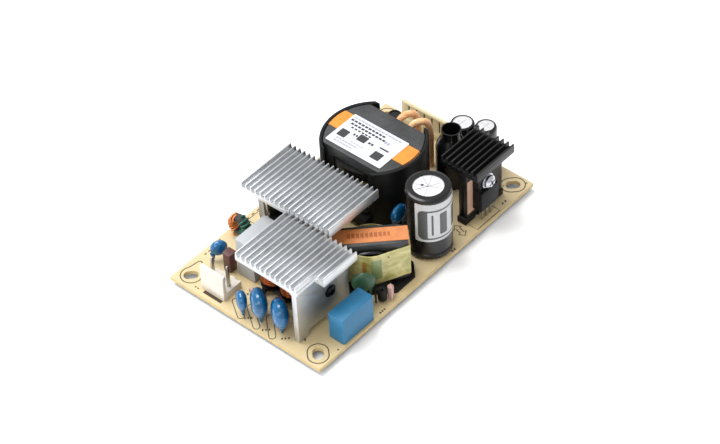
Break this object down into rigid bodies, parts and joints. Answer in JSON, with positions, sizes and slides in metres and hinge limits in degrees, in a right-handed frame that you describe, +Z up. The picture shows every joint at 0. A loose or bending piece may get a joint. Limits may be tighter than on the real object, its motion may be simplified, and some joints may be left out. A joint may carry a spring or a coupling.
{
  "type": "open frame power supply",
  "caption": "Open frame AC-DC power supply on a bare board, with finned heatsinks, wound parts, tall capacitors and pin headers at both ends.",
  "frame": {"origin": "under the centre of the board's outline, at the level of the longest lead tips that the board stands on", "axes": "+X along the long edge from the mains input end to the output end, +Y across the board towards the edge beside the mains header, +Z up from the board"},
  "size_m": [0.127, 0.0762, 0.0351],
  "materials": {
    "laminate": "tan glass-epoxy laminate with clear lacquer",
    "solder": "bright tinned solder and lead ends",
    "bare_aluminium": "plain extruded, satin",
    "black_aluminium": "black anodised, satin",
    "moulded_black": "moulded epoxy and nylon, black",
    "zinc_steel": "zinc plated",
    "dark_screw": "black oxide",
    "tinned_copper": "tin plated",
    "thermal_pad": "silicone insulating pad",
    "ferrite": "sintered ferrite, matt dark grey",
    "coil_tape": "yellow polyester tape",
    "orange_tape": "orange polyimide tape, satin",
    "copper_tape": "copper-orange tape, satin",
    "belt_tape": "clear yellow polyester tape over the coil",
    "label": "plain white label, semi-gloss",
    "lead_sleeve": "peach silicone-glass sleeving",
    "copper_wire": "enamelled copper wire, glossy",
    "orange_wire": "orange insulated wire",
    "green_wire": "green insulated wire",
    "sleeve_black": "black shrink sleeve, glossy",
    "can_aluminium": "bare aluminium can top",
    "white_nylon": "white nylon",
    "ivory_nylon": "ivory nylon",
    "fuse_maroon": "maroon moulded case",
    "grey_box": "light grey moulded case",
    "blue_box": "blue moulded case",
    "blue_disc": "blue dipped epoxy, glossy",
    "green_disc": "dark green dipped silicone, satin",
    "axial_body": "lacquered, with colour bands"
  },
  "bodies": {
    "root": {"board": "laminate", "standing_joints": "solder", "solder_joints": "solder", "controller_chips": "moulded_black", "input_heatsink": "bare_aluminium", "primary_heatsink": "bare_aluminium", "output_heatsink": "black_aluminium", "output_heatsink_foot": "moulded_black", "bridge_rectifier": "moulded_black", "bridge_screw": "dark_screw", "transistor_bodies": "moulded_black", "transistor_tabs": "tinned_copper", "transistor_screws": "zinc_steel", "insulating_pad": "thermal_pad", "rectifier_body": "moulded_black", "rectifier_legs": "tinned_copper", "rectifier_screw": "zinc_steel", "transformer_core_lower": "ferrite", "transformer_core_upper": "ferrite", "transformer_cup": "moulded_black", "transformer_bobbin": "moulded_black", "transformer_winding": "coil_tape", "transformer_band": "orange_tape", "transformer_label": "label", "transformer_leads": "lead_sleeve", "inductor_core_lower": "ferrite", "inductor_core_upper": "ferrite", "inductor_bobbin": "moulded_black", "inductor_winding": "copper_wire", "inductor_belt": "belt_tape", "inductor_strap": "copper_tape", "bulk_capacitor_can": "can_aluminium", "bulk_capacitor_sleeve": "sleeve_black", "output_capacitor_cans": "can_aluminium", "output_capacitor_sleeves": "sleeve_black", "drum_choke": "ferrite", "drum_choke_sleeve": "sleeve_black", "input_header": "white_nylon", "input_pins": "tinned_copper", "output_header": "ivory_nylon", "output_pins": "tinned_copper", "fuse": "fuse_maroon", "suppression_capacitor": "grey_box", "film_capacitor": "blue_box", "line_choke_core": "ferrite", "line_choke_bobbin": "moulded_black", "line_choke_coils": "copper_wire", "ring_choke_core": "ferrite", "ring_choke_orange_wire": "orange_wire", "ring_choke_green_wire": "green_wire", "surge_disc_small": "blue_disc", "surge_disc_middle": "blue_disc", "surge_disc_large": "blue_disc", "safety_capacitor": "blue_disc", "inner_safety_capacitor": "blue_disc", "thermistor": "green_disc", "small_electrolytic": "sleeve_black", "axial_resistors": "axial_body", "standing_diode": "moulded_black"}
  },
  "joints": []
}
